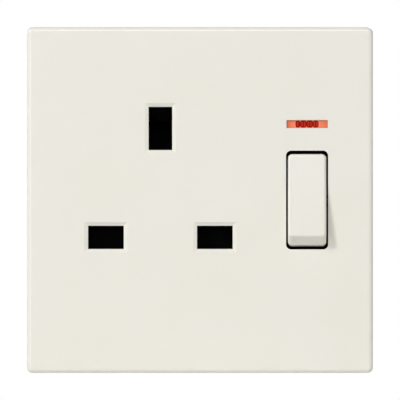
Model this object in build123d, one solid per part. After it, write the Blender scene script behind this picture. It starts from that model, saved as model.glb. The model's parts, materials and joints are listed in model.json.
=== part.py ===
from build123d import *
from math import cos, pi, radians, sin, sqrt
import os

# Switched three-pin socket: a square front plate clipped over a moulded insert on a steel support frame.
# Millimetres and degrees. X is to the right, Y runs into the wall and Z is up.
# The origin is midway between the two fixing slots, on the wall face of the support frame.
# The switch is off: the top of the rocker is pressed in and the contacts are open.

# Front plate
plate_proud = 10.5
plate_side = 70.6
plate_corner = 1.1
plate_edge = 0.9
plate_wall = 2.0
plate_depth = 6.5
skirt_wall = 1.8

# Clips that hold the plate on the insert
clip_x = 12.0
clip_width = 6.0
clip_wall = 1.2
clip_hook = 1.0
clip_play = 0.2
lug_offset = 2.9
lug_length = 1.2

# Pin pattern and pin apertures
pin_pitch = 22.23
earth_x = -8.08
power_z = -7.63
power_slot_width = 7.28
power_slot_height = 4.75
earth_slot_width = 4.82
earth_slot_height = 8.83
mouth_width = 0.75
mouth_depth = 0.45
slot_play = 0.2
power_pin_length = 17.7
power_pin_end_gap = 0.3
earth_pin_height = 7.92

# Rocker cap, measured from the pivot with the rocker level
rocker_x = 21.85
rocker_width = 7.82
rocker_reach = 9.7
cap_setback = 0.88
rocker_rise = 4.3
face_reach = 8.25
shoulder_rise = 2.0
cap_rise = 0.4
rocker_corner = 0.85
rocker_edge = 0.55
rocker_wall = 1.2
rocker_end_wall = 1.9
rocker_roof = 1.6
rocker_throw = 10.5
pivot_depth = 3.0
rocker_side_gap = 0.39
rocker_end_gap = 0.38
opening_corner = 1.05

# Tilting carrier under the cap, with its trunnions
carrier_inset = 0.3
carrier_wall = 0.75
carrier_roof = 1.0
skirt_drop = 1.4
trunnion_radius = 0.8
trunnion_length = 0.7
trunnion_play = 0.05
bearing_wall = 0.8
bearing_play = 0.15
stop_gap = 0.1
stop_wall = 1.2
stop_width = 1.8

# Sprung plunger in the rocker's stem
stem_wall = 0.6
stem_length = 4.2
stem_bore_rise = 1.5
plunger_radius = 1.45
plunger_play = 0.1
plunger_tip = 1.2
nose_inset = 0.05
plunger_gap = 0.2
rocker_spring_length = 3.7
rocker_spring_radius = 1.05
rocker_spring_turns = 4

# See-saw contact bar and its fulcrum
fulcrum_height = 3.2
fulcrum_radius = 0.9
fulcrum_play = 0.05
fulcrum_wall = 1.0
fulcrum_lip = 0.2
bar_throw = 8.0
bar_side_gap = 0.25
bar_length = 17.6
bar_sheet = 1.0
bar_height = 1.6
bar_neck = 1.6
dish_half = 2.6
dish_rise = 0.52
tip_reach = 7.2
moving_tip_radius = 1.4
moving_tip_height = 1.2
fixed_tip_radius = 1.5
contact_gap = 0.1
tip_edge = 0.2

# Indicator lens, lamp and leads
lens_z = 15.5
lens_width = 8.3
lens_height = 1.52
lens_gap = 0.05
lens_recess = 0.45
flange_height = 3.6
flange_wall = 0.8
guide_play = 0.1
guide_lobes = [0.9, 1.46, 1.46, 0.9]
guide_lobe_overlap = 0.06
guide_lobe_bevel = 0.3
lamp_radius = 2.0
lamp_nose = 1.2
lamp_length = 11.0
lamp_gap = 0.3
lamp_tube_wall = 0.8
lamp_lead_offset = 0.8
lead_radius = 0.4
lead_bend = 1.2
lead_depth = 3.2
lead_gap = 0.35
resistor_x = 10.75
resistor_length = 6.5
resistor_radius = 1.1

# Moulded insert
insert_height = 54.0
insert_corner = 2.0
insert_wall = 1.8
side_wall = 1.4
shell_corner = 1.8
ledge = 1.15
split_depth = 1.0
rear_wall = 1.8
rear_edge = 1.0
ear_x = 21.0
ear_width = 7.0
ear_reach = 4.0
ear_wall = 2.0
peg_width = 2.6
peg_play = 0.05
peg_short = 0.1

# Support frame
frame_margin = 1.75
frame_corner = 4.0
frame_sheet = 1.2
frame_play = 0.2
fixing_pitch = 60.3
fixing_slot_width = 4.0
fixing_slot_length = 5.2
tag_width = 5.0
tag_bend = 1.0
tag_play = 0.15
tag_margin = 0.4
tag_notch = 1.2

# Shutter
shutter_wall = 2.4
shutter_play = 0.2
shutter_overlap = 0.6
shutter_margin = 0.6
shutter_clear = 0.2
bridge_width = 5.4
rail_wall = 1.2
rail_play = 0.15
spring_pad_width = 6.0
spring_pad_height = 2.6
spring_seat_wall = 1.2
shutter_spring_length = 10.4
shutter_spring_radius = 1.4
shutter_spring_turns = 6
spring_wire = 0.4
coil_sides = 8

# Socket contacts
contact_sheet = 0.9
contact_bend = 1.2
clip_leaf_width = 6.5
leaf_spread = 3.0
pinch_gap = 3.2
clip_mouth_half = 2.9
clip_mouth_setback = 0.8
clip_mouth_length = 2.0
earth_plate_width = 10.0
earth_window_margin = 1.0
earth_plate_margin = 1.5
earth_leaf_height = 7.9
strip_width = 4.2
arm_height = 4.6
solder_tab_x = 1.9
solder_tab_width = 2.4
solder_tab_rise = 6.1
rivet_radius = 1.0
rivet_head = 1.4
rivet_head_height = 0.7
rivet_play = 0.03

# Terminals
terminal_width = 7.5
terminal_height = 9.0
terminal_depth = 8.0
terminal_edge = 0.5
terminal_foot = 0.4
terminal_side_gap = 0.3
terminal_back_gap = 0.3
bore_radius = 2.1
bore_setback = 3.2
bore_entry_play = 0.6
terminal_screw_radius = 1.9
terminal_screw_backoff = 0.1
terminal_screw_sink = 0.4
screw_play = 0.05
head_play = 0.3
head_height = 1.5
drive_slot = 0.8
drive_depth = 0.7

# Ribs, seats and screw columns of the rear housing
seat_width = 4.0
guard_play = 0.3
guard_wall = 0.9
guard_margin = 0.9
chamber_wall = 1.0
chamber_play = 0.15
column_width = 5.2
housing_screw_radius = 1.5
housing_screw_head = 2.4
housing_screw_bite = 5.0
housing_screw_run_out = 0.5
column_hole_play = 0.1
column_spots = [(-21.5, 8.0), (12.0, -20.0)]


def around(centre, width):
    """Span of a width about a centre."""
    return (centre - width / 2, centre + width / 2)


# Depths worked out from the sizes above
front_y = -plate_proud
back_y = front_y + plate_wall
rim_y = front_y + plate_depth
inner_y = back_y + insert_wall
frame_y = -frame_sheet
pivot_y = front_y + pivot_depth
contact_y = front_y + power_pin_length + power_pin_end_gap
strip_y = contact_y + contact_sheet
bar_y = contact_y - fulcrum_height
terminal_y = strip_y + terminal_depth
floor_y = terminal_y + terminal_back_gap
rear_y = floor_y + rear_wall
bore_y = strip_y + bore_setback
shutter_front_y = inner_y + shutter_play
shutter_back_y = shutter_front_y + shutter_wall
guard_y = shutter_back_y + shutter_play
lead_y = strip_y + lead_depth
rocker_top = rocker_reach - cap_setback
carrier_reach = rocker_reach - carrier_inset
rocker_dip = skirt_drop * cos(radians(rocker_throw)) + carrier_reach * sin(radians(rocker_throw))
stop_y = pivot_y + rocker_dip + stop_gap
well_y = stop_y + stop_wall

# Places and outlines worked out from the sizes above
neutral_x = earth_x - pin_pitch / 2
live_x = earth_x + pin_pitch / 2
earth_z = power_z + pin_pitch
guard_top_z = earth_z + earth_leaf_height / 2 + guard_margin
lead_top_z = guard_top_z + lead_gap + lead_radius
guard_side_x = earth_x - earth_plate_width / 2 - guard_play - guard_wall
lead_run_x = guard_side_x - lead_gap - lead_radius
frame_side = fixing_pitch + fixing_slot_length + 2 * frame_margin
guide_width = sum(guide_lobes) - guide_lobe_overlap * (len(guide_lobes) - 1)
flag_half = power_slot_width / 2 + shutter_margin
power_guard_half = clip_leaf_width / 2 + guard_play
neutral_half = max(flag_half, power_guard_half + guard_wall, terminal_width / 2)
neutral_side_x = neutral_half + terminal_side_gap + side_wall + ledge - neutral_x
rocker_side_x = rocker_x + rocker_width / 2 + bearing_play + bearing_wall
half_x = max(rocker_side_x, neutral_side_x)
half_z = insert_height / 2
shell_x = half_x - ledge
shell_z = half_z - ledge
cavity_x = shell_x - side_wall
cavity_z = shell_z - side_wall
opening_width = rocker_width + 2 * rocker_side_gap
opening_height = 2 * (rocker_reach + rocker_end_gap)
well_half = rocker_width / 2 + bearing_play
cap_inside_x = around(0, rocker_width - 2 * rocker_wall)
cap_inside_y = rocker_roof - rocker_rise
cap_inside_z = (rocker_end_wall - rocker_reach, rocker_top - rocker_end_wall)
stem_bore = plunger_radius + plunger_play
stem_radius = stem_bore + stem_wall
bar_width = 2 * (cavity_x - rocker_x - bar_side_gap)
plunger_reach = bar_y - bar_height - pivot_y - plunger_gap - plunger_tip
plunger_start = rocker_spring_length - stem_bore_rise
arm_front = bar_height + dish_rise
tip_face = moving_tip_height - arm_front + bar_sheet
fixed_z = tip_reach * cos(radians(bar_throw)) - tip_face * sin(radians(bar_throw))
fixed_y = (
    bar_y
    + tip_face * cos(radians(bar_throw))
    + (tip_reach + moving_tip_radius) * sin(radians(bar_throw))
    + contact_gap
)
shutter_travel = power_slot_height + shutter_overlap + shutter_clear
flag_low_z = power_z - power_slot_height / 2 - shutter_overlap
flag_high_z = power_z + power_slot_height / 2 + shutter_overlap
ramp_low_z = earth_z - earth_slot_height / 2
ramp_high_z = earth_z - earth_pin_height / 2 + shutter_travel - shutter_clear / 2
ramp_back_y = shutter_front_y + ramp_high_z - ramp_low_z
clip_mouth_y = ramp_back_y + clip_mouth_setback
pinch_y = clip_mouth_y + clip_mouth_length
spring_centre_y = shutter_front_y + shutter_spring_radius + spring_wire / 2
spring_seat_z = flag_low_z - shutter_spring_length
terminal_low_z = terminal_foot - cavity_z
terminal_high_z = terminal_low_z + terminal_height
terminal_mid_z = (terminal_low_z + terminal_high_z) / 2
live_terminal_x = cavity_x - terminal_side_gap - terminal_width / 2
terminal_x = {"live": live_terminal_x, "neutral": neutral_x, "earth": earth_x}
tag_z = cavity_z - tag_play - frame_sheet / 2
rivet_z = tag_z - frame_sheet / 2 - tag_margin - rivet_head
ear_z = half_z + ear_reach / 2
arm_top_z = fixed_z + arm_height / 2
rocker_seat = Pos(rocker_x, pivot_y, 0) * Rot(-rocker_throw, 0, 0)
bar_seat = Pos(rocker_x, bar_y, 0) * Rot(bar_throw, 0, 0)


def block(x, y, z):
    """Box over three (low, high) spans."""
    size = [high - low for low, high in (x, y, z)]
    middle = [(low + high) / 2 for low, high in (x, y, z)]
    return Pos(*middle) * Box(*size)


def rod_y(x, z, radius, y):
    """Round bar along Y over the span y."""
    return Pos(x, (y[0] + y[1]) / 2, z) * Rot(90, 0, 0) * Cylinder(radius, y[1] - y[0])


def rod_x(y, z, radius, x):
    """Round bar along X over the span x."""
    return Pos((x[0] + x[1]) / 2, y, z) * Rot(0, 90, 0) * Cylinder(radius, x[1] - x[0])


def slab(width, height, corner, y):
    """Rounded rectangle about the Y axis, drawn out over the span y."""
    face = Plane.XZ * RectangleRounded(width, height, corner)
    return Pos(0, y[1], 0) * extrude(face, y[1] - y[0])


def prism_x(points, x):
    """Prism along X over the span x, with a closed outline of (y, z) points."""
    face = Plane.YZ * make_face(Polyline(*points, close=True))
    return Pos(x[0], 0, 0) * extrude(face, x[1] - x[0])


def bent_strip(points, sheet, bend):
    """Section of a folded sheet along its centre line, with rounded bends."""
    return trace(FilletPolyline(*points, radius=bend), line_width=sheet)


def coil(radius, length, turns):
    """Coil spring along Z from z = 0, of square wire in short straight runs."""
    runs = turns * coil_sides
    rise = (length - spring_wire) / runs
    turn = 2 * pi / coil_sides
    points = [
        (radius * cos(run * turn), radius * sin(run * turn), spring_wire / 2 + run * rise)
        for run in range(runs + 1)
    ]
    path = Polyline(*points)
    section = Plane(path @ 0, x_dir=(1, 0, 0), z_dir=path % 0) * Rectangle(spring_wire, spring_wire)
    return sweep(section, path=path, transition=Transition.RIGHT)


def wire(points):
    """Square lead along straight runs joined by arcs."""
    path = FilletPolyline(*points, radius=lead_bend)
    section = Plane(path @ 0, z_dir=path % 0) * RegularPolygon(lead_radius, 4)
    return sweep(section, path=path)


def pin_slot(x, z, width, height):
    """Cutter for one pin aperture of the plate, with its sloping mouth."""
    throat = block(around(x, width), (front_y, back_y), around(z, height))
    wide = width + 2 * mouth_width
    high = height + 2 * mouth_width
    narrow_end = (mouth_width, mouth_width, wide - mouth_width, high - mouth_width)
    return throat + Pos(x, front_y + mouth_depth / 2, z) * Wedge(wide, mouth_depth, high, *narrow_end)


def plate_clip(x, side):
    """Hooked arm behind the plate, at the top (side 1) or the bottom (side -1)."""
    inside = half_z + clip_hook + clip_play
    hook_y = back_y + lug_offset + lug_length + clip_play
    end_y = hook_y + clip_hook + clip_play
    outline = [
        (back_y, inside),
        (hook_y, inside),
        (hook_y, half_z + clip_play),
        (end_y, inside),
        (end_y, inside + clip_wall),
        (back_y, inside + clip_wall),
    ]
    return prism_x([(y, side * z) for y, z in outline], around(x, clip_width))


def front_plate():
    shell = slab(plate_side, plate_side, plate_corner, (front_y, rim_y))
    shell = fillet(shell.edges().group_by(Axis.Y)[0], plate_edge)
    inner_side = plate_side - 2 * skirt_wall
    shell -= block(around(0, inner_side), (back_y, rim_y), around(0, inner_side))
    for pin_x in (neutral_x, live_x):
        shell -= pin_slot(pin_x, power_z, power_slot_width, power_slot_height)
    shell -= pin_slot(earth_x, earth_z, earth_slot_width, earth_slot_height)
    opening = slab(opening_width, opening_height, opening_corner, (front_y, back_y))
    shell -= Pos(rocker_x, 0, 0) * opening
    shell -= block(
        around(rocker_x, lens_width + 2 * lens_gap),
        (front_y, back_y),
        around(lens_z, lens_height + 2 * lens_gap),
    )
    for x in (-clip_x, clip_x):
        for side in (-1, 1):
            shell += plate_clip(x, side)
    return shell


def light_guide(y):
    """Row of bevelled lobes that carries the lamp's light to the lens."""
    guide = Part()
    left = rocker_x - guide_width / 2
    for width in guide_lobes:
        outline = chamfer(Rectangle(width, lens_height).vertices(), guide_lobe_bevel)
        lobe = extrude(Plane.XZ * outline, y[1] - y[0])
        guide += Pos(left + width / 2, y[1], lens_z) * lobe
        left += width - guide_lobe_overlap
    return guide


def neon_lens():
    window = block(
        around(rocker_x, lens_width), (front_y + lens_recess, back_y), around(lens_z, lens_height)
    )
    flange = block(
        around(rocker_x, lens_width), (back_y, back_y + flange_wall), around(lens_z, flange_height)
    )
    return window + flange + light_guide((back_y + flange_wall, inner_y))


def rocker_cap():
    """Level cap about the pivot, with a finger bevel at its lower end and rounded edges."""
    outline = [
        (-rocker_rise, rocker_top),
        (-cap_rise, rocker_top),
        (-cap_rise, -rocker_reach),
        (-shoulder_rise, -rocker_reach),
        (-rocker_rise, -face_reach),
    ]
    cap = prism_x(outline, around(0, rocker_width))
    upright = cap.edges().filter_by(Axis.X, reverse=True)
    corners = upright.filter_by(lambda edge: abs(edge.center().Z) > face_reach)
    cap = fillet(corners, rocker_corner)
    return fillet(cap.faces().sort_by(Axis.Y)[0].edges(), rocker_edge)


def switch_rocker():
    cap = rocker_cap() - block(cap_inside_x, (cap_inside_y, -cap_rise), cap_inside_z)
    notch_half = trunnion_radius + trunnion_play
    cap -= block(around(0, rocker_width), (-notch_half, -cap_rise), (-notch_half, notch_half))
    return rocker_seat * cap


def rocker_carrier():
    flange_x = around(0, rocker_width - 2 * carrier_inset)
    body = block(cap_inside_x, (cap_inside_y, -cap_rise), cap_inside_z)
    body += block(flange_x, (-cap_rise, skirt_drop), (-carrier_reach, carrier_reach))
    hollow_y = cap_inside_y + carrier_roof
    body -= block(
        (cap_inside_x[0] + carrier_wall, cap_inside_x[1] - carrier_wall),
        (hollow_y, skirt_drop),
        (cap_inside_z[0] + carrier_wall, cap_inside_z[1] - carrier_wall),
    )
    body += rod_y(0, 0, stem_radius, (hollow_y, stem_length))
    body -= rod_y(0, 0, stem_bore, (-stem_bore_rise, stem_length))
    for side in (-1, 1):
        span = sorted((side * flange_x[1], side * (rocker_width / 2 + trunnion_length)))
        body += rod_x(0, 0, trunnion_radius, span)
    return rocker_seat * body


def rocker_plunger():
    nose_half = sqrt((plunger_radius - nose_inset) ** 2 - plunger_tip ** 2)
    shank = rod_y(0, 0, plunger_radius, (plunger_start, plunger_reach))
    return rocker_seat * (shank + rod_x(plunger_reach, 0, plunger_tip, (-nose_half, nose_half)))


def rocker_spring():
    spring = coil(rocker_spring_radius, rocker_spring_length, rocker_spring_turns)
    return rocker_seat * Pos(0, -stem_bore_rise, 0) * Rot(-90, 0, 0) * spring


def insert_shell():
    """Stepped shell of the insert's front half, seated on the frame round its cut-out."""
    shell = slab(2 * half_x, 2 * half_z, insert_corner, (back_y, frame_y))
    shell += slab(2 * shell_x, 2 * shell_z, shell_corner, (frame_y, split_depth))
    shell -= block((-cavity_x, cavity_x), (inner_y, split_depth), (-cavity_z, cavity_z))
    return shell - tag_slot((frame_y, split_depth))


def tag_slot(y):
    """Cutter for the notch in the insert's top wall that the frame's earth tag passes through."""
    return block(around(earth_x, tag_width + 2 * tag_play), y, (cavity_z, shell_z))


def insert_apertures():
    """Cutters for the pins, the lens flange and the light guide in the insert's front wall."""
    wall = (back_y, inner_y)
    power_size = (power_slot_width + 2 * slot_play, power_slot_height + 2 * slot_play)
    earth_size = (earth_slot_width + 2 * slot_play, earth_slot_height + 2 * slot_play)
    guide_size = (guide_width + 2 * guide_play, lens_height + 2 * guide_play)
    cutters = Part()
    for x, z, size in (
        (neutral_x, power_z, power_size),
        (live_x, power_z, power_size),
        (earth_x, earth_z, earth_size),
        (rocker_x, lens_z, guide_size),
    ):
        cutters += block(around(x, size[0]), wall, around(z, size[1]))
    flange_pocket = block(
        around(rocker_x, lens_width + 2 * lens_gap),
        (back_y, back_y + flange_wall),
        around(lens_z, flange_height + 2 * lens_gap),
    )
    return cutters + flange_pocket


def rocker_well(shell):
    """Cut the rocker's well and add its inner bearing wall, end stops and open trunnion seats."""
    left = rocker_x - well_half
    right = rocker_x + well_half
    height = opening_height + 2 * bearing_wall
    shell += block((left - bearing_wall, left), (inner_y, well_y), around(0, height))
    shell -= block((left, right), (back_y, stop_y), around(0, opening_height))
    stem_swing = 2 * (stem_radius + stem_length * sin(radians(rocker_throw)) + stop_gap)
    stem_y = pivot_y + stem_length + stop_gap
    shell -= block((left, right), (stop_y, stem_y), around(0, stem_swing))
    for side in (-1, 1):
        far = side * height / 2
        near = far - side * (bearing_wall + stop_width)
        shell += block((left - bearing_wall, right), (stop_y, well_y), sorted((near, far)))
    seat_radius = trunnion_radius + trunnion_play
    seat_span = (left - bearing_wall, right + bearing_wall)
    shell -= rod_x(pivot_y, 0, seat_radius, seat_span)
    return shell - block(seat_span, (back_y, pivot_y), around(0, 2 * seat_radius))


def shutter_guides():
    """Rails beside the shutter's bridge and the shelf under its spring."""
    guides = Part()
    rail_half = bridge_width / 2 + rail_play
    rail_z = (flag_high_z + shutter_play, ramp_low_z - slot_play)
    for side in (-1, 1):
        span = sorted((earth_x + side * rail_half, earth_x + side * (rail_half + rail_wall)))
        guides += block(span, (inner_y, shutter_back_y), rail_z)
    seat_back_y = spring_centre_y + shutter_spring_radius + spring_wire / 2
    seat_z = (spring_seat_z - spring_seat_wall, spring_seat_z)
    return guides + block(around(earth_x, spring_pad_width), (inner_y, seat_back_y), seat_z)


def inner_moulding():
    shell = rocker_well(insert_shell())
    lamp_room = 2 * (lamp_radius + guide_play)
    lamp_box = lamp_room + 2 * lamp_tube_wall
    shell += block(around(rocker_x, lamp_box), (inner_y, split_depth), around(lens_z, lamp_box))
    shell -= block(around(rocker_x, lamp_room), (inner_y, split_depth), around(lens_z, lamp_room))
    shell -= insert_apertures()
    shell += shutter_guides()
    for x, z in column_spots:
        hole_y = split_depth - housing_screw_bite - housing_screw_run_out
        shell += block(around(x, column_width), (inner_y, split_depth), around(z, column_width))
        shell -= rod_y(x, z, housing_screw_radius + screw_play, (hole_y, split_depth))
    lug_y = (back_y + lug_offset, back_y + lug_offset + lug_length)
    for side in (-1, 1):
        lug_z = sorted((side * half_z, side * (half_z + clip_hook)))
        ear_span = sorted((side * half_z, side * (half_z + ear_reach)))
        for hand in (-1, 1):
            shell += block(around(hand * clip_x, clip_width), lug_y, lug_z)
            shell += block(around(hand * ear_x, ear_width), (frame_y - ear_wall, frame_y), ear_span)
            peg_x = around(hand * ear_x, peg_width)
            shell += block(peg_x, (frame_y, -peg_short), around(side * ear_z, peg_width))
    return shell


def support_frame():
    sheet = slab(frame_side, frame_side, frame_corner, (frame_y, 0))
    cut_x = shell_x + frame_play
    cut_z = shell_z + frame_play
    peg_hole = peg_width + 2 * peg_play
    sheet -= slab(2 * cut_x, 2 * cut_z, shell_corner + frame_play, (frame_y, 0))
    for hand in (-1, 1):
        slot = Plane.XZ * SlotOverall(fixing_slot_length, fixing_slot_width)
        sheet -= Pos(hand * fixing_pitch / 2, 0, 0) * extrude(slot, frame_sheet)
        for side in (-1, 1):
            sheet -= block(around(hand * ear_x, peg_hole), (frame_y, 0), around(side * ear_z, peg_hole))
    fold_y = contact_y - frame_sheet / 2
    route = [
        (frame_y / 2, cut_z + frame_sheet),
        (frame_y / 2, tag_z),
        (fold_y, tag_z),
        (fold_y, rivet_z - rivet_head - tag_margin),
    ]
    tag = Plane.YZ * bent_strip(route, frame_sheet, tag_bend)
    sheet += Pos(earth_x - tag_width / 2, 0, 0) * extrude(tag, tag_width, dir=(1, 0, 0))
    return sheet - rod_y(earth_x, rivet_z, rivet_radius + rivet_play, (contact_y - frame_sheet, contact_y))


def contact_seats():
    """Pillars from the rear wall to the back of each contact strip."""
    seats = Part()
    spots = [(neutral_x, power_z), (live_x, power_z), (earth_x, 0), (rocker_x, 0), (rocker_x, fixed_z)]
    for x, z in spots:
        seats += block(around(x, seat_width), (strip_y, floor_y), around(z, seat_width))
    return seats


def pin_guards():
    """Walls beside each socket clip, which also keep the shutter in its plane."""
    guards = Part()
    earth_half = earth_plate_width / 2 + guard_play
    power_height = 2 * (leaf_spread + guard_margin)
    earth_height = earth_leaf_height + 2 * guard_margin
    for x, z, half, height in (
        (neutral_x, power_z, power_guard_half, power_height),
        (live_x, power_z, power_guard_half, power_height),
        (earth_x, earth_z, earth_half, earth_height),
    ):
        for side in (-1, 1):
            span = sorted((x + side * half, x + side * (half + guard_wall)))
            guards += block(span, (guard_y, floor_y), around(z, height))
    return guards


def terminal_chambers():
    """Barrier walls beside the terminal blocks."""
    walls = Part()
    near = terminal_width / 2 + chamber_play
    for name, side in (("neutral", 1), ("earth", -1), ("earth", 1), ("live", -1)):
        x = terminal_x[name]
        span = sorted((x + side * near, x + side * (near + chamber_wall)))
        walls += block(span, (strip_y, floor_y), (-cavity_z, terminal_high_z))
    return walls


def rear_housing():
    shell = slab(2 * shell_x, 2 * shell_z, shell_corner, (split_depth, rear_y))
    shell = chamfer(shell.edges().group_by(Axis.Y)[-1], rear_edge)
    shell -= block((-cavity_x, cavity_x), (split_depth, floor_y), (-cavity_z, cavity_z))
    shell -= tag_slot((split_depth, split_depth + tag_notch))
    shell += contact_seats()
    shell += pin_guards()
    shell += terminal_chambers()
    for x, z in column_spots:
        shell += block(around(x, column_width), (split_depth, floor_y), around(z, column_width))
        shell -= rod_y(x, z, housing_screw_radius + column_hole_play, (split_depth, floor_y))
        shell -= rod_y(x, z, housing_screw_head + head_play, (floor_y, rear_y))
    entry_width = 2 * (bore_radius + bore_entry_play)
    for x in terminal_x.values():
        shell -= rod_y(x, terminal_mid_z, terminal_screw_radius + head_play, (floor_y, rear_y))
        shell -= block(around(x, entry_width), around(bore_y, entry_width), (-shell_z, -cavity_z))
    return shell


def shutter():
    thickness = (shutter_front_y, shutter_back_y)
    body = block((neutral_x - flag_half, live_x + flag_half), thickness, (flag_low_z, flag_high_z))
    bridge = around(earth_x, bridge_width)
    body += block(bridge, thickness, (flag_high_z, ramp_low_z))
    body += prism_x(
        [
            (shutter_front_y, ramp_low_z),
            (ramp_back_y, ramp_high_z),
            (ramp_back_y, ramp_high_z - shutter_wall),
            (shutter_back_y, ramp_low_z),
        ],
        bridge,
    )
    pad_y = (shutter_front_y, spring_centre_y + shutter_spring_radius + spring_wire / 2)
    pad_z = (flag_low_z, flag_low_z + spring_pad_height)
    return body + block(around(earth_x, spring_pad_width), pad_y, pad_z)


def shutter_spring():
    spring = coil(shutter_spring_radius, shutter_spring_length, shutter_spring_turns)
    return Pos(earth_x, spring_centre_y, spring_seat_z) * spring


def power_clip(x):
    """U-shaped clip for a live or neutral pin, with its leaves above and below the pin."""
    base_y = contact_y + contact_sheet / 2
    pinch_half = (pinch_gap + contact_sheet) / 2
    half = [(clip_mouth_y, clip_mouth_half), (pinch_y, pinch_half), (base_y, leaf_spread)]
    route = half + [(y, -z) for y, z in reversed(half)]
    section = Plane.YZ * bent_strip(route, contact_sheet, contact_bend)
    return Pos(x - clip_leaf_width / 2, 0, power_z) * extrude(section, clip_leaf_width, dir=(1, 0, 0))


def neutral_contact():
    clip = power_clip(neutral_x)
    sheet = (contact_y, strip_y)
    clip += block(around(neutral_x, strip_width), sheet, (terminal_low_z, power_z))
    tab_x = around(neutral_x + solder_tab_x, solder_tab_width)
    return clip + block(tab_x, sheet, (power_z, power_z + solder_tab_rise))


def live_contact():
    clip = power_clip(live_x)
    sheet = (contact_y, strip_y)
    arm_z = around(fixed_z, arm_height)
    clip += block(around(live_x, strip_width), sheet, (power_z, arm_top_z))
    return clip + block((live_x, rocker_x + bar_width / 2), sheet, arm_z)


def earth_contact():
    sheet = (contact_y, strip_y)
    window_width = pinch_gap + 2 * contact_sheet + earth_window_margin
    window_height = earth_leaf_height + 2 * earth_window_margin
    plate_height = window_height + 2 * earth_plate_margin
    plate = block(around(earth_x, earth_plate_width), sheet, around(earth_z, plate_height))
    plate += block(around(earth_x, strip_width), sheet, (earth_z, tag_z))
    plate += block(around(earth_x, strip_width), sheet, (terminal_low_z, earth_z))
    plate -= block(around(earth_x, window_width), sheet, around(earth_z, window_height))
    plate += earth_leaf(1, window_width / 2)
    plate += earth_leaf(-1, window_width / 2)
    return plate - rod_y(earth_x, rivet_z, rivet_radius + rivet_play, sheet)


def earth_leaf(side, root):
    """One upright leaf of the earth clip, folded forward from the edge of the window."""
    centre = contact_sheet / 2
    route = [
        (clip_mouth_half, clip_mouth_y),
        (pinch_gap / 2 + centre, pinch_y),
        (root + centre, contact_y),
        (root + centre, strip_y),
    ]
    section = bent_strip([(side * x, y) for x, y in route], contact_sheet, contact_bend)
    leaf = extrude(section, earth_leaf_height, dir=(0, 0, 1))
    return Pos(earth_x, 0, earth_z - earth_leaf_height / 2) * leaf


def switch_cradle():
    sheet = (contact_y, strip_y)
    post_half = fulcrum_radius + fulcrum_wall
    strip = block(around(rocker_x, bar_width), sheet, (terminal_low_z, post_half))
    strip += block(around(rocker_x, bar_width), (bar_y + fulcrum_lip, contact_y), (-post_half, post_half))
    return strip - rod_x(bar_y, 0, fulcrum_radius + fulcrum_play, around(rocker_x, bar_width))


def contact_bar():
    half = bar_length / 2
    front = [(-arm_front, half), (-arm_front, dish_half), (-bar_height, 0)]
    front += [(-arm_front, -dish_half), (-arm_front, -half)]
    back = [(y + bar_sheet, z) for y, z in reversed(front)]
    bar = prism_x(front + back, around(0, bar_width))
    bar += block(around(0, bar_width), (bar_sheet / 2 - bar_height, 0), around(0, bar_neck))
    bar += rod_x(0, 0, fulcrum_radius, around(0, bar_width))
    return bar_seat * bar


def contact_tip(radius, height):
    """Silver button along +Y from y = 0, bevelled at its contact face."""
    button = rod_y(0, 0, radius, (0, height))
    return chamfer(button.edges().sort_by(Axis.Y)[-1], tip_edge)


def moving_contact_tip():
    tip = contact_tip(moving_tip_radius, moving_tip_height)
    return bar_seat * Pos(0, bar_sheet - arm_front, tip_reach) * tip


def fixed_contact_tip():
    tip = contact_tip(fixed_tip_radius, contact_y - fixed_y)
    return Pos(rocker_x, contact_y, fixed_z) * Rot(180, 0, 0) * tip


def terminal(x):
    """Brass block with a cable bore along Z and a clamping screw hole from the rear."""
    body = block(around(x, terminal_width), (strip_y, terminal_y), (terminal_low_z, terminal_high_z))
    body = chamfer(body.edges().filter_by(Axis.Z), terminal_edge)
    body -= Pos(x, bore_y, terminal_mid_z) * Cylinder(bore_radius, terminal_height)
    return body - rod_y(x, terminal_mid_z, terminal_screw_radius + screw_play, (bore_y, terminal_y))


def screw_slot(x, z, radius, end_y):
    """Cutter for the screwdriver slot across the rear end of a screw."""
    return block(around(x, 2 * radius), (end_y - drive_depth, end_y), around(z, drive_slot))


def terminal_screw(x):
    """Headless clamping screw, reached through the rear wall."""
    tip_y = bore_y + bore_radius + terminal_screw_backoff
    end_y = rear_y - terminal_screw_sink
    body = rod_y(x, terminal_mid_z, terminal_screw_radius, (tip_y, end_y))
    return body - screw_slot(x, terminal_mid_z, terminal_screw_radius, end_y)


def housing_screw(x, z):
    """Screw along Y with its slotted head sunk in the rear wall."""
    end_y = floor_y + head_height
    body = rod_y(x, z, housing_screw_radius, (split_depth - housing_screw_bite, floor_y))
    body += rod_y(x, z, housing_screw_head, (floor_y, end_y))
    return body - screw_slot(x, z, housing_screw_head, end_y)


def earth_rivet():
    """Rivet with a head on the frame's tag and a tail set flush in the earth strip."""
    front = contact_y - frame_sheet
    shank = rod_y(earth_x, rivet_z, rivet_radius, (front, strip_y))
    return shank + rod_y(earth_x, rivet_z, rivet_head, (front - rivet_head_height, front))


def neon_lamp():
    tip_y = inner_y + lamp_gap
    bulb = rod_y(rocker_x, lens_z, lamp_radius, (tip_y, tip_y + lamp_length))
    return chamfer(bulb.edges().sort_by(Axis.Y)[0], lamp_nose)


def neon_resistor():
    return rod_x(lead_y, lead_top_z, resistor_radius, around(resistor_x, resistor_length))


def neon_live_lead():
    x = rocker_x + lamp_lead_offset
    start_y = inner_y + lamp_gap + lamp_length
    arm_y = contact_y + contact_sheet / 2
    return wire([(x, start_y, lens_z), (x, arm_y, lens_z), (x, arm_y, arm_top_z)])


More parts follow.
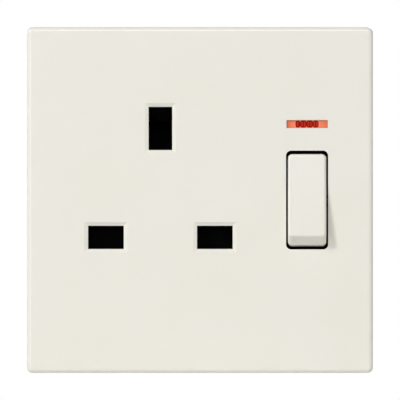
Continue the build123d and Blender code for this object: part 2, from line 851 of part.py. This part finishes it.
def neon_neutral_lead():
    x = rocker_x - lamp_lead_offset
    start_y = inner_y + lamp_gap + lamp_length
    left, right = around(resistor_x, resistor_length)
    tab_x = neutral_x + solder_tab_x
    tab_y = contact_y + contact_sheet / 2
    tab_z = power_z + solder_tab_rise
    lamp_side = [
        (x, start_y, lens_z),
        (x, lead_y, lens_z),
        (x, lead_y, lead_top_z),
        (right, lead_y, lead_top_z),
    ]
    neutral_side = [
        (left, lead_y, lead_top_z),
        (lead_run_x, lead_y, lead_top_z),
        (lead_run_x, lead_y, tab_z + 2 * solder_tab_rise),
        (tab_x, tab_y, tab_z + solder_tab_rise),
        (tab_x, tab_y, tab_z),
    ]
    return [wire(lamp_side), wire(neutral_side)]


nodes = {
    "front_plate": front_plate(),
    "neon_lens": neon_lens(),
    "switch_rocker": switch_rocker(),
    "rocker_carrier": rocker_carrier(),
    "rocker_plunger": rocker_plunger(),
    "rocker_spring": rocker_spring(),
    "inner_moulding": inner_moulding(),
    "support_frame": support_frame(),
    "rear_housing": rear_housing(),
    "shutter": shutter(),
    "shutter_spring": shutter_spring(),
    "live_contact": live_contact(),
    "neutral_contact": neutral_contact(),
    "earth_contact": earth_contact(),
    "switch_cradle": switch_cradle(),
    "contact_bar": contact_bar(),
    "moving_contact_tip": moving_contact_tip(),
    "fixed_contact_tip": fixed_contact_tip(),
    "live_terminal": terminal(terminal_x["live"]),
    "neutral_terminal": terminal(terminal_x["neutral"]),
    "earth_terminal": terminal(terminal_x["earth"]),
    "terminal_screws": Compound([terminal_screw(x) for x in terminal_x.values()]),
    "housing_screws": Compound([housing_screw(x, z) for x, z in column_spots]),
    "earth_rivet": earth_rivet(),
    "neon_lamp": neon_lamp(),
    "neon_resistor": neon_resistor(),
    "neon_live_lead": neon_live_lead(),
    "neon_neutral_lead": Compound(neon_neutral_lead()),
}

os.makedirs("parts", exist_ok=True)
for name, shape in nodes.items():
    export_step(shape, f"parts/{name}.step")
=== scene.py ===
import json
import math

import bpy
from mathutils import Matrix, Vector


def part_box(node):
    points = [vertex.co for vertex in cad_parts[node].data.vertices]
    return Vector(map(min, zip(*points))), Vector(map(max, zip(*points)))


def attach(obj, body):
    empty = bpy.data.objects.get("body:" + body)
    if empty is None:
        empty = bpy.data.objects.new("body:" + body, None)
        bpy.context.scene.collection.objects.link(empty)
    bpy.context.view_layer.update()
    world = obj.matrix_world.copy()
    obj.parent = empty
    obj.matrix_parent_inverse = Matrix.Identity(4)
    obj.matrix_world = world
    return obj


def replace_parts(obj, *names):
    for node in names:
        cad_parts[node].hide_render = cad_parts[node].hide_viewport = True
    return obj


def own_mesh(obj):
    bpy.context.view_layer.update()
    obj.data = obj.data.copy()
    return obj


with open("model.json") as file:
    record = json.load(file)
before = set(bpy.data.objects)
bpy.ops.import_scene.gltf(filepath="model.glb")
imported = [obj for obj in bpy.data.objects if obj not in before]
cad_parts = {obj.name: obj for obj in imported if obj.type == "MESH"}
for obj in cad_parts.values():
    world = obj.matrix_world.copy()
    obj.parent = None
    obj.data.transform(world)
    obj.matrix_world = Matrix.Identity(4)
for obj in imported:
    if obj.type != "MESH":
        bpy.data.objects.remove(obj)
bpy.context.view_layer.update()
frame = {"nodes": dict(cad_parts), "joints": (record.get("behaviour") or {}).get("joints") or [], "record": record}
nodes = frame["nodes"]
joints = {joint["name"]: joint for joint in frame["joints"]}

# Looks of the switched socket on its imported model: materials, small visual pieces, light and camera.
# Lengths are metres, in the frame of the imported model: X right, Y into the wall, Z up.
MM = 0.001

# Camera and light
view_width = 81.62 * MM
camera_distance = 3.0
camera_far = 20.0
sensor_mm = 36.0
fill = 0.1
light_distance = 2.0
soft_boxes = [
    # name, direction, width, height, power
    ("key_light", Vector((-0.9, -1.0, 0.95)), 0.4, 0.4, 19.2),
    ("left_strip", Vector((-0.5, -1.0, 0.04)), 0.3, 0.4, 4.6),
    ("top_strip", Vector((-0.04, -1.0, 0.6)), 0.5, 0.12, 6.4),
    ("rocker_strip", Vector((-0.75, -0.66, 0.31)), 0.9, 0.14, 2.6),
    ("side_fill", Vector((1.0, -0.45, 0.1)), 1.0, 0.4, 5.6),
    ("rear_light", Vector((0.25, 1.0, 0.3)), 0.6, 0.6, 14.0),
]
floor_drop = 46 * MM
floor_side = 0.7
floor_front = 1.2
floor_back = 0.35
floor_glow = 0.48

# Procedural textures: noise mostly lies between its low and high value
noise_detail = 3.0
noise_low = 0.3
noise_high = 0.7

# Lens and the light guide seen in it
lens_half = 4.1 * MM
lens_patch = 700
lens_wander = 0.05
# Where the lens's painted glow reaches full strength, as a share of the way along it
painted_glow_start = 0.24
lobe_widths = [0.94 * MM, 1.3 * MM, 1.32 * MM, 1.16 * MM]
lobe_highlight_counts = [1, 2, 2, 2]
lobe_height = 1.44 * MM
lobe_corner = 0.4 * MM
lobe_rise = 0.06 * MM
lobe_sink = 0.04 * MM
# Lighter pads in the middle of the lobes: a painted highlight of their rounded fronts
highlight_width = 0.3 * MM
highlight_height = 1.0 * MM
highlight_corner = 0.14 * MM
highlight_pitch = 0.52 * MM
highlight_rise = 0.04 * MM
pad_rings = [(1.0, 0.0), (0.92, 0.5), (0.72, 0.85), (0.4, 1.0)]  # share of the outline, share of the rise

# Lamp: the seal's distances run back from its end
tip_steps = 8
seal_rings = [(2.2 * MM, 1.0), (1.4 * MM, 0.86), (0.0, 0.7)]  # distance, share of the radius
electrode_offset = 0.8 * MM
electrode_start = 2.0 * MM
electrode_length = 6.1 * MM
electrode_radius = 0.35 * MM
electrode_edge = 0.1 * MM
electrode_end_radius = 0.2 * MM
electrode_sides = 16

# Resistor: shares of its length, of its half length and of its radius
band_start = 0.2
band_pitch = 0.17
band_width = 0.08
resistor_steps = 24
resistor_waist = 0.8
swell_place = 0.74
swell_width = 0.16
round_end_start = 0.86
round_end_length = 0.15
round_end_least = 0.05

# Leads and springs
lead_radius = 0.4 * MM
lead_bend = 1.2 * MM
lead_rounding = 3
tab_offset = 1.9 * MM
tab_rise = 6.1 * MM
guard_offset = 1.95 * MM
spring_wire = 0.2 * MM
shutter_turns = 6
shutter_flat_turns = 0.75
rocker_turns = 4
rocker_flat_turns = 0.5

# Rear marks: strokes, widths and heights are shares of the mark's height
mark_height = 3.0 * MM
mark_relief = 0.25 * MM
mark_bevel = 0.05 * MM
mark_gap = 1.6 * MM
mark_stroke = 0.16
live_width = 0.56
neutral_width = 0.62
neutral_notch = 0.3
earth_width = 0.8
earth_low = 0.44
earth_bars = [(0.5, 0.2, mark_stroke), (0.22, 0.0, 0.14)]  # width, low edge, thickness


def srgb(red, green, blue):
    """Linear colour of an 8-bit screen colour."""
    shares = [value / 255 for value in (red, green, blue)]
    linear = [share / 12.92 if share <= 0.04045 else ((share + 0.055) / 1.055) ** 2.4 for share in shares]
    return (*linear, 1.0)


# Materials


def add_node(tree, kind, **settings):
    """New shader node; settings name its properties or its input sockets."""
    node = tree.nodes.new(f"ShaderNode{kind}")
    for name, value in settings.items():
        if hasattr(node, name):
            setattr(node, name, value)
        else:
            node.inputs[name.replace("_", " ")].default_value = value
    return node


def noise(tree, scale, stretch=(1, 1, 1)):
    """Noise in object space; stretch draws it out along the axes with small numbers."""
    place = add_node(tree, "TexCoord")
    mapping = add_node(tree, "Mapping", Scale=stretch)
    texture = add_node(tree, "TexNoise", Scale=scale, Detail=noise_detail)
    tree.links.new(place.outputs["Object"], mapping.inputs["Vector"])
    tree.links.new(mapping.outputs["Vector"], texture.inputs["Vector"])
    return texture.outputs["Fac"]


def ramp(tree, factor, stops, interpolation="LINEAR"):
    """Colour ramp with (position, colour) stops."""
    node = add_node(tree, "ValToRGB")
    elements = node.color_ramp.elements
    node.color_ramp.interpolation = interpolation
    while len(elements) < len(stops):
        elements.new(1.0)
    for element, (position, colour) in zip(elements, stops):
        element.position = position
        element.color = colour
    tree.links.new(factor, node.inputs["Fac"])
    return node.outputs["Color"]


def spread(tree, factor, low, high):
    """Noise factor mapped to the range from low to high."""
    node = add_node(tree, "MapRange", From_Min=noise_low, From_Max=noise_high, To_Min=low, To_Max=high)
    tree.links.new(factor, node.inputs["Value"])
    return node.outputs["Result"]


def along_x(tree, low, high):
    """Share of the way from low to high along X, in object space."""
    place = add_node(tree, "TexCoord")
    split = add_node(tree, "SeparateXYZ")
    share = add_node(tree, "MapRange", From_Min=low, From_Max=high)
    tree.links.new(place.outputs["Object"], split.inputs["Vector"])
    tree.links.new(split.outputs["X"], share.inputs["Value"])
    return share.outputs["Result"]


def grained(name, grain, rough, relief, stretch=(1, 1, 1), **uniform):
    """Material with grain in its gloss and its surface, as yet without a colour."""
    material = bpy.data.materials.new(name)
    material.use_nodes = True
    tree = material.node_tree
    shader = tree.nodes["Principled BSDF"]
    fine = noise(tree, grain, stretch)
    strength, depth = relief
    bump = add_node(tree, "Bump", Strength=strength, Distance=depth)
    tree.links.new(spread(tree, fine, *rough), shader.inputs["Roughness"])
    tree.links.new(fine, bump.inputs["Height"])
    tree.links.new(bump.outputs["Normal"], shader.inputs["Normal"])
    for socket, value in uniform.items():
        shader.inputs[socket.replace("_", " ")].default_value = value
    return material


def paint(material, colour):
    """Link a colour to a material's shader."""
    tree = material.node_tree
    tree.links.new(colour, tree.nodes["Principled BSDF"].inputs["Base Color"])


def finish(name, tones, patch, grain, rough, relief, stretch=(1, 1, 1), **uniform):
    """Grained material whose colour drifts in patches between two tones."""
    material = grained(name, grain, rough, relief, stretch, **uniform)
    tree = material.node_tree
    stops = [(place, srgb(*tone)) for place, tone in zip((noise_low, noise_high), tones)]
    paint(material, ramp(tree, noise(tree, patch, stretch), stops))
    return material


def ivory(name, *tones):
    """Smooth moulded plastic of the plate and of the rocker, whose copy is written a shade darker as painted
    shade, so that the rocker, which leans towards the light, renders no brighter than the plate.
    """
    return finish(
        name, tones, patch=60, grain=5200,
        rough=(0.2, 0.26), relief=(0.05, 0.02 * MM), IOR=1.49,
    )


def light_guide(name, *tones):
    """Red plastic of the light guide, with hardly any gloss; its lighter copy is a painted highlight."""
    return finish(
        name, tones, patch=1400, grain=5000,
        rough=(0.2, 0.3), relief=(0.06, 0.02 * MM), Specular_IOR_Level=0.04,
    )


def lens_with_painted_glow(centre_x):
    """Orange lens with a painted glow: lighter and pinker beside the light guide in its middle."""
    material = grained(
        "lens_plastic", grain=4000, rough=(0.2, 0.3), relief=(0.06, 0.02 * MM), Specular_IOR_Level=0.3
    )
    ends = srgb(229, 122, 79)
    # Lighter, pinker tone in the middle of the lens: a painted glow
    glow = srgb(248, 138, 102)
    tree = material.node_tree
    wander = add_node(tree, "Math", operation="ADD")
    tree.links.new(along_x(tree, centre_x - lens_half, centre_x + lens_half), wander.inputs[0])
    tree.links.new(spread(tree, noise(tree, lens_patch), -lens_wander, lens_wander), wander.inputs[1])
    stops = [(0.0, ends), (painted_glow_start, glow), (1 - painted_glow_start, glow), (1.0, ends)]
    paint(material, ramp(tree, wander.outputs["Value"], stops))
    return material


def banded_resistor(low, high):
    """Tan ceramic coat with four plain colour bands along X."""
    material = grained("resistor_coat", grain=6000, rough=(0.32, 0.42), relief=(0.15, 0.03 * MM))
    tan = srgb(202, 178, 136)
    bands = [srgb(196, 92, 30), srgb(196, 92, 30), srgb(214, 190, 40), srgb(176, 140, 60)]
    stops = [(0.0, tan)]
    for index, band in enumerate(bands):
        start = band_start + band_pitch * index
        stops += [(start, band), (start + band_width, tan)]
    tree = material.node_tree
    paint(material, ramp(tree, along_x(tree, low, high), stops, "CONSTANT"))
    return material


lens_low, lens_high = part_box("neon_lens")
resistor_low, resistor_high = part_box("neon_resistor")
materials = {
    "ivory_plastic": ivory("ivory_plastic", (235, 232, 222), (237, 234, 225)),
    # The rocker's ivory is written a shade darker than the plate's: painted shade, because the rocker leans
    # towards the light.
    "rocker_ivory_painted_shade": ivory("rocker_ivory_painted_shade", (231, 228, 218), (233, 230, 221)),
    "lens_plastic": lens_with_painted_glow((lens_low.x + lens_high.x) / 2),
    "guide_red": light_guide("guide_red", (150, 10, 2), (164, 18, 6)),
    # A lighter copy of the guide's red: painted highlight for the middles of the lobes
    "guide_painted_highlight": light_guide("guide_painted_highlight", (186, 42, 27), (198, 54, 37)),
    # Black plastic of the inner parts and the rocker's carrier: their own black, written near to zero so that the
    # holes and the gaps about the rocker render fully black, which is partly painted shade.
    "black_plastic": finish(
        "black_plastic", ((3, 3, 3), (6, 6, 6)), patch=400, grain=5000,
        rough=(0.7, 0.85), relief=(0.3, 0.04 * MM), Specular_IOR_Level=0.02,
    ),
    "housing_plastic": finish(
        "housing_plastic", ((48, 48, 50), (58, 58, 60)), patch=300, grain=4200,
        rough=(0.48, 0.62), relief=(0.35, 0.05 * MM),
    ),
    "zinc_steel": finish(
        "zinc_steel", ((158, 161, 165), (186, 188, 190)), patch=160, grain=2600,
        rough=(0.26, 0.42), relief=(0.18, 0.03 * MM), stretch=(1, 1, 0.12), Metallic=1.0,
    ),
    "spring_steel": finish(
        "spring_steel", ((150, 150, 152), (182, 182, 184)), patch=900, grain=5200,
        rough=(0.25, 0.4), relief=(0.2, 0.03 * MM), Metallic=1.0,
    ),
    "brass": finish(
        "brass", ((196, 156, 84), (222, 184, 108)), patch=240, grain=3200,
        rough=(0.24, 0.4), relief=(0.2, 0.03 * MM), stretch=(1, 1, 0.2), Metallic=1.0,
    ),
    "silver": finish(
        "silver", ((206, 206, 202), (230, 230, 226)), patch=1200, grain=6000,
        rough=(0.2, 0.36), relief=(0.2, 0.02 * MM), Metallic=1.0,
    ),
    "nylon": finish(
        "nylon", ((226, 224, 214), (236, 234, 226)), patch=500, grain=5000,
        rough=(0.38, 0.5), relief=(0.12, 0.03 * MM), Subsurface_Weight=0.15, Subsurface_Scale=0.5 * MM,
    ),
    "lamp_glass": finish(
        "lamp_glass", ((250, 240, 232), (255, 248, 242)), patch=600, grain=3000,
        rough=(0.02, 0.05), relief=(0.03, 0.02 * MM), Transmission_Weight=1.0, IOR=1.5,
    ),
    "resistor_body": banded_resistor(resistor_low.x, resistor_high.x),
    "tinned_wire": finish(
        "tinned_wire", ((196, 196, 196), (220, 220, 218)), patch=1500, grain=6000,
        rough=(0.24, 0.38), relief=(0.15, 0.02 * MM), Metallic=1.0,
    ),
}


def dress_nodes():
    """Every node in the material of its slot, and the rocker in the darker copy of the ivory, which is painted
    shade.
    """
    for subpart in frame["record"]["subparts"]:
        surface = nodes[subpart["node"]].data
        surface.materials.clear()
        surface.materials.append(materials[subpart["material_slot"]])
    nodes["switch_rocker"].data.materials[0] = materials["rocker_ivory_painted_shade"]


# Shapes


def add_object(name, data):
    """New object in the scene."""
    made = bpy.data.objects.new(name, data)
    bpy.context.scene.collection.objects.link(made)
    return made


def add_piece(name, mesh, material, body):
    """New piece in a material, which rides on a body."""
    mesh.materials.append(material)
    made = add_object(name, mesh)
    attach(made, body)
    return made


def smooth_piece(name, points, faces, slot, body, material=None):
    """Smooth piece from points and faces, in its slot's material unless another is given."""
    mesh = bpy.data.meshes.new(name)
    mesh.from_pydata(points, [], faces)
    mesh.validate()
    mesh.shade_smooth()
    return add_piece(name, mesh, material or materials[slot], body)


def ring_faces(rings, sides):
    """Quads between successive rings of points, all with the same number of sides."""
    faces = []
    for ring in range(rings - 1):
        for side in range(sides):
            here = ring * sides + side
            following = ring * sides + (side + 1) % sides
            faces.append((here, following, following + sides, here + sides))
    return faces


def tube(rings):
    """Points and faces of a closed tube through rings of points, with flat ends."""
    sides = len(rings[0])
    points = [point for ring in rings for point in ring]
    faces = ring_faces(len(rings), sides)
    faces.append(tuple(reversed(range(sides))))
    faces.append(tuple(range(len(points) - sides, len(points))))
    return points, faces


def across(axis):
    """Two unit vectors square to an axis and to each other."""
    first = axis.orthogonal().normalized()
    return first, axis.cross(first)


def turned(profile, base, axis, sides=40):
    """Rings of a turned solid with a profile of (distance along the axis, radius)."""
    first, second = across(axis)
    angles = [2 * math.pi * side / sides for side in range(sides)]
    spokes = [first * math.cos(angle) + second * math.sin(angle) for angle in angles]
    return [[base + axis * along + spoke * radius for spoke in spokes] for along, radius in profile]


def helix(base, axis, length, radius, wire, turns, end_turns, steps=26, sides=8):
    """Rings of a round wire wound about an axis; end_turns at each end lie flat."""
    first, second = across(axis)
    total = round(steps * turns)
    free = turns - 2 * end_turns
    rise = length - 2 * wire
    pitch = (rise - 4 * wire * end_turns) / free
    angles = [2 * math.pi * side / sides for side in range(sides)]
    rings = []
    for step in range(total + 1):
        turn = step / steps
        closed = min(turn, end_turns) + max(turn - turns + end_turns, 0)
        height = wire + 2 * wire * closed + pitch * min(max(turn - end_turns, 0), free)
        wound = 2 * math.pi * turn
        outward = first * math.cos(wound) + second * math.sin(wound)
        centre = base + axis * height + outward * radius
        spokes = [outward * math.cos(angle) + axis * math.sin(angle) for angle in angles]
        rings.append([centre + spoke * wire for spoke in spokes])
    return rings


def rounded_outline(width, height, corner, steps=5):
    """Points of a rounded rectangle about the origin, anticlockwise."""
    points = []
    for quarter, (side, up) in enumerate(((1, 1), (-1, 1), (-1, -1), (1, -1))):
        centre = (side * (width / 2 - corner), up * (height / 2 - corner))
        for step in range(steps + 1):
            angle = math.pi / 2 * (quarter + step / steps)
            points.append((centre[0] + corner * math.cos(angle), centre[1] + corner * math.sin(angle)))
    return points


def domed_pad(centre, width, height, corner, sink, rise):
    """Rings of a pad with a rounded outline and a domed front, which faces -Y."""
    rings = []
    front = [(share, -lift * rise) for share, lift in pad_rings]
    for share, depth in [(1.0, sink)] + front:
        outline = rounded_outline(width * share, height * share, corner * share)
        rings.append([centre + Vector((x, depth, z)) for x, z in outline])
    return rings


def bent_path(points, steps=6):
    """Corner points replaced by short curves that start a bend's length before each corner."""
    path = [points[0]]
    for before, corner, after in zip(points, points[1:], points[2:]):
        start = corner + (before - corner).normalized() * lead_bend
        end = corner + (after - corner).normalized() * lead_bend
        for step in range(steps + 1):
            share = step / steps
            path.append(start.lerp(corner, share).lerp(corner.lerp(end, share), share))
    return path + [points[-1]]


def add_line(curve, points, closed=False):
    """Straight line through points, added to a curve."""
    spline = curve.splines.new("POLY")
    spline.use_cyclic_u = closed
    spline.points.add(len(points) - 1)
    for target, point in zip(spline.points, points):
        target.co = (*point, 1.0)


def round_lead(name, points):
    """Curve of a round wire along straight runs with rounded bends."""
    curve = bpy.data.curves.new(name, "CURVE")
    curve.dimensions = "3D"
    curve.bevel_depth = lead_radius
    curve.bevel_resolution = lead_rounding
    curve.use_fill_caps = True
    add_line(curve, bent_path([Vector(point) for point in points]))
    return curve


def mesh_from_curve(curve, name, slot, body, place=None):
    """Mesh piece with the filled or bevelled form of a curve, moved to a place if one is given."""
    holder = add_object(f"{name}_line", curve)
    mesh = bpy.data.meshes.new_from_object(holder.evaluated_get(bpy.context.evaluated_depsgraph_get()))
    bpy.data.objects.remove(holder)
    if place is not None:
        mesh.transform(place)
    mesh.materials.clear()
    return add_piece(name, mesh, materials[slot], body)


def middle(node):
    """Centre of a node's box."""
    low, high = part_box(node)
    return (low + high) / 2


def reach(node, axis):
    """Lowest and highest distance of a node's points along an axis from the origin."""
    distances = [axis.dot(vertex.co) for vertex in nodes[node].data.vertices]
    return min(distances), max(distances)


# Indicator


def lens_lobes():
    """Row of red lobes of the light guide, seen in the front of the lens, each with lighter pads in its middle
    that are a painted highlight of its rounded front.
    """
    centre = (lens_low + lens_high) / 2
    left = centre.x - sum(lobe_widths) / 2
    for number, (width, highlight_count) in enumerate(zip(lobe_widths, lobe_highlight_counts), 1):
        place = Vector((left + width / 2, lens_low.y, centre.z))
        pad = domed_pad(place, width, lobe_height, lobe_corner, lobe_sink, lobe_rise)
        smooth_piece(f"lens_lobe_{number}", *tube(pad), "lens_plastic", "housing", materials["guide_red"])
        # Lighter pads in the lobe's middle, as a painted highlight
        for highlight_index in range(highlight_count):
            aside = Vector(((highlight_index - (highlight_count - 1) / 2) * highlight_pitch, -lobe_rise, 0))
            pad = domed_pad(place + aside, highlight_width, highlight_height, highlight_corner, lobe_rise, highlight_rise)
            name = f"lens_core_{number}_{highlight_index + 1}"
            smooth_piece(name, *tube(pad), "lens_plastic", "housing", materials["guide_painted_highlight"])
        left += width


def indicator_lamp():
    """Glass envelope with a round tip and a pinched seal, and the two electrodes inside it."""
    low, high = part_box("neon_lamp")
    centre = (low + high) / 2
    radius = (high.x - low.x) / 2
    length = high.y - low.y
    axis = Vector((0, 1, 0))
    angles = [math.pi / 2 * step / tip_steps for step in range(1, tip_steps + 1)]
    tip = [(radius * (1 - math.cos(angle)), radius * math.sin(angle)) for angle in angles]
    seal = [(length - back, share * radius) for back, share in seal_rings]
    base = Vector((centre.x, low.y, centre.z))
    bulb = smooth_piece("lamp_envelope", *tube(turned(tip + seal, base, axis)), "lamp_glass", "housing")
    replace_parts(bulb, "neon_lamp")
    rod = [
        (0.0, electrode_end_radius),
        (electrode_edge, electrode_radius),
        (electrode_length - electrode_edge, electrode_radius),
        (electrode_length, electrode_end_radius),
    ]
    for name, side in (("lamp_electrode_left", -1), ("lamp_electrode_right", 1)):
        start = base + Vector((side * electrode_offset, electrode_start, 0))
        rings = turned(rod, start, axis, electrode_sides)
        smooth_piece(name, *tube(rings), "tinned_wire", "housing")


def lamp_resistor():
    """Dipped resistor with a swelling at each end."""
    length = resistor_high.x - resistor_low.x
    radius = (resistor_high.z - resistor_low.z) / 2
    base = Vector((resistor_low.x, middle("neon_resistor").y, middle("neon_resistor").z))
    profile = []
    for step in range(resistor_steps + 1):
        share = step / resistor_steps
        end = 2 * abs(share - 0.5)
        swell = resistor_waist + (1 - resistor_waist) * math.exp(-((end - swell_place) / swell_width) ** 2)
        past = max(end - round_end_start, 0) / round_end_length
        profile.append((length * share, radius * swell * math.sqrt(max(1 - past ** 2, round_end_least))))
    rings = turned(profile, base, Vector((1, 0, 0)))
    body = smooth_piece("resistor_coated", *tube(rings), "resistor_body", "housing")
    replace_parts(body, "neon_resistor")


def lamp_leads():
    """Tinned leads from the lamp to the live arm, to the resistor and on to the neutral clip."""
    low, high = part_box("neon_live_lead")
    lamp = middle("neon_lamp")
    live_x = (low.x + high.x) / 2
    arm_y = high.y - lead_radius
    to_arm = [(live_x, low.y, lamp.z), (live_x, arm_y, lamp.z), (live_x, arm_y, low.z)]
    live = round_lead("live_lead", to_arm)
    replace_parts(mesh_from_curve(live, "lead_live", "tinned_wire", "housing"), "neon_live_lead")
    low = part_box("neon_neutral_lead")[0]
    run = middle("neon_resistor")
    return_x = 2 * lamp.x - live_x
    to_resistor = [
        (return_x, low.y, lamp.z),
        (return_x, run.y, lamp.z),
        (return_x, run.y, run.z),
        (resistor_high.x, run.y, run.z),
    ]
    curve = round_lead("lamp_side", to_resistor)
    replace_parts(mesh_from_curve(curve, "lead_lamp_side", "tinned_wire", "housing"), "neon_neutral_lead")
    tab_x = middle("neutral_terminal").x + tab_offset
    run_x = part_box("earth_contact")[0].x - guard_offset
    to_tab = [
        (resistor_low.x, run.y, run.z),
        (run_x, run.y, run.z),
        (run_x, run.y, low.z + 2 * tab_rise),
        (tab_x, arm_y, low.z + tab_rise),
        (tab_x, arm_y, low.z),
    ]
    curve = round_lead("neutral_side", to_tab)
    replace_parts(mesh_from_curve(curve, "lead_neutral_side", "tinned_wire", "housing"), "neon_neutral_lead")


# Springs


def shutter_coil():
    """Round-wire spring under the shutter, on a mesh of its own."""
    low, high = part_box("shutter_spring")
    length = high.z - low.z
    radius = (high.x - low.x) / 2 - spring_wire
    base = Vector((middle("shutter_spring").x, middle("shutter_spring").y, low.z))
    rings = helix(base, Vector((0, 0, 1)), length, radius, spring_wire, shutter_turns, shutter_flat_turns)
    coil = smooth_piece("shutter_coil", *tube(rings), "spring_steel", "housing")
    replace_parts(coil, "shutter_spring")
    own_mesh(coil)


def rocker_coil():
    """Round-wire spring behind the plunger, on a mesh of its own."""
    axis = Vector(joints["plunger_slide"]["axis"]).normalized()
    pivot = Vector(joints["rocker_tilt"]["pos_m"])
    near, far = reach("rocker_spring", axis)
    length = far - near
    roof = pivot + axis * (far - axis.dot(pivot))
    low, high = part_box("rocker_spring")
    radius = (high.x - low.x) / 2 - spring_wire
    rings = helix(roof, -axis, length, radius, spring_wire, rocker_turns, rocker_flat_turns)
    coil = smooth_piece("rocker_coil", *tube(rings), "spring_steel", "rocker")
    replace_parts(coil, "rocker_spring")
    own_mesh(coil)


# Rear marks, with outlines about their centre line


def live_letter():
    """Outline of an L."""
    side = live_width / 2
    inner = mark_stroke - side
    return [[(-side, 0), (side, 0), (side, mark_stroke), (inner, mark_stroke), (inner, 1), (-side, 1)]]


def neutral_letter():
    """Outline of an N."""
    side = neutral_width / 2
    inner = side - mark_stroke
    return [[
        (-side, 0), (-inner, 0), (-inner, 1 - neutral_notch), (inner, 0), (side, 0),
        (side, 1), (inner, 1), (inner, neutral_notch), (-inner, 1), (-side, 1),
    ]]


def earth_sign():
    """Outlines of the earth sign: a stem on a bar, with two shorter bars below it."""
    stem = mark_stroke / 2
    side = earth_width / 2
    earth_high = earth_low + mark_stroke
    outlines = [[
        (-side, earth_low), (side, earth_low), (side, earth_high), (stem, earth_high),
        (stem, 1), (-stem, 1), (-stem, earth_high), (-side, earth_high),
    ]]
    for width, low, thickness in earth_bars:
        side = width / 2
        outlines.append([(-side, low), (side, low), (side, low + thickness), (-side, low + thickness)])
    return outlines


def rear_marks():
    """Raised terminal marks on the rear wall, read from behind."""
    rear_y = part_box("rear_housing")[1].y
    mark_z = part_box("live_terminal")[1].z + mark_gap
    signs = {"live": live_letter(), "neutral": neutral_letter(), "earth": earth_sign()}
    for name, outlines in signs.items():
        curve = bpy.data.curves.new(f"{name}_outline", "CURVE")
        curve.dimensions = "2D"
        curve.fill_mode = "BOTH"
        curve.extrude = mark_relief
        curve.bevel_depth = mark_bevel
        for outline in outlines:
            points = [(aside * mark_height, up * mark_height, 0) for aside, up in outline]
            add_line(curve, points, closed=True)
        x = middle(f"{name}_terminal").x
        # The outline runs to the left and upwards, so that the mark reads from behind.
        place = Matrix(((-1, 0, 0, x), (0, 0, 1, rear_y), (0, 1, 0, mark_z), (0, 0, 0, 1)))
        mesh_from_curve(curve, f"rear_mark_{name}", "housing_plastic", "housing", place)


dress_nodes()
lens_lobes()
indicator_lamp()
lamp_resistor()
lamp_leads()
shutter_coil()
rocker_coil()
rear_marks()


# Stage, light and camera


def seen_rays(tree):
    """Share of rays that show a background: 1 for the camera, reflections and glass, 0 for light."""
    rays = add_node(tree, "LightPath")
    seen = rays.outputs["Is Camera Ray"]
    for kind in ("Is Glossy Ray", "Is Transmission Ray"):
        either = add_node(tree, "Math", operation="MAXIMUM")
        tree.links.new(seen, either.inputs[0])
        tree.links.new(rays.outputs[kind], either.inputs[1])
        seen = either.outputs["Value"]
    return seen


def floor_paper():
    """Pale paper, lifted to white where it is seen."""
    paper = finish(
        "floor_paper", ((240, 240, 239), (243, 243, 242)), patch=12, grain=900,
        rough=(0.8, 0.9), relief=(0.04, 0.1 * MM), Emission_Color=(1, 1, 1, 1),
    )
    tree = paper.node_tree
    glow = add_node(tree, "Math", operation="MULTIPLY")
    glow.inputs[1].default_value = floor_glow
    tree.links.new(seen_rays(tree), glow.inputs[0])
    tree.links.new(glow.outputs["Value"], tree.nodes["Principled BSDF"].inputs["Emission Strength"])
    return paper


def floor():
    """Floor below the object, with the object's shadow."""
    mesh = bpy.data.meshes.new("floor")
    front = [(x, -floor_front, -floor_drop) for x in (-floor_side, floor_side)]
    back = [(x, floor_back, -floor_drop) for x in (floor_side, -floor_side)]
    mesh.from_pydata(front + back, [], [(0, 1, 2, 3)])
    mesh.materials.append(floor_paper())
    made = add_object("floor", mesh)


def studio_world():
    """White where it is seen, and an even soft fill as light."""
    world = bpy.data.worlds.new("studio")
    world.use_nodes = True
    tree = world.node_tree
    light = tree.nodes["Background"]
    light.inputs["Color"].default_value = (1, 1, 1, 1)
    light.inputs["Strength"].default_value = fill
    white = add_node(tree, "Background", Color=(1, 1, 1, 1), Strength=1.0)
    mix = add_node(tree, "MixShader")
    tree.links.new(seen_rays(tree), mix.inputs["Fac"])
    tree.links.new(light.outputs["Background"], mix.inputs[1])
    tree.links.new(white.outputs["Background"], mix.inputs[2])
    tree.links.new(mix.outputs["Shader"], tree.nodes["World Output"].inputs["Surface"])
    bpy.context.scene.world = world


def soft_box(name, direction, width, height, power):
    """Soft light that faces the object from a direction."""
    light = bpy.data.lights.new(name, "AREA")
    light.shape = "RECTANGLE"
    light.size = width
    light.size_y = height
    light.energy = power
    made = add_object(name, light)
    made.location = direction.normalized() * light_distance
    made.rotation_euler = direction.to_track_quat("Z", "Y").to_euler()
    made.visible_camera = False


def front_camera():
    """Camera straight in front of the plate, as far across as the photo shows."""
    camera = bpy.data.cameras.new("front_camera")
    camera.sensor_width = sensor_mm
    camera.lens = sensor_mm * camera_distance / view_width
    camera.clip_end = camera_far
    made = add_object("front_camera", camera)
    made.location = (0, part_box("front_plate")[0].y - camera_distance, 0)
    made.rotation_euler = (math.pi / 2, 0, 0)
    bpy.context.scene.camera = made


floor()
studio_world()
for settings in soft_boxes:
    soft_box(*settings)
front_camera()
bpy.context.scene.view_settings.view_transform = "Standard"
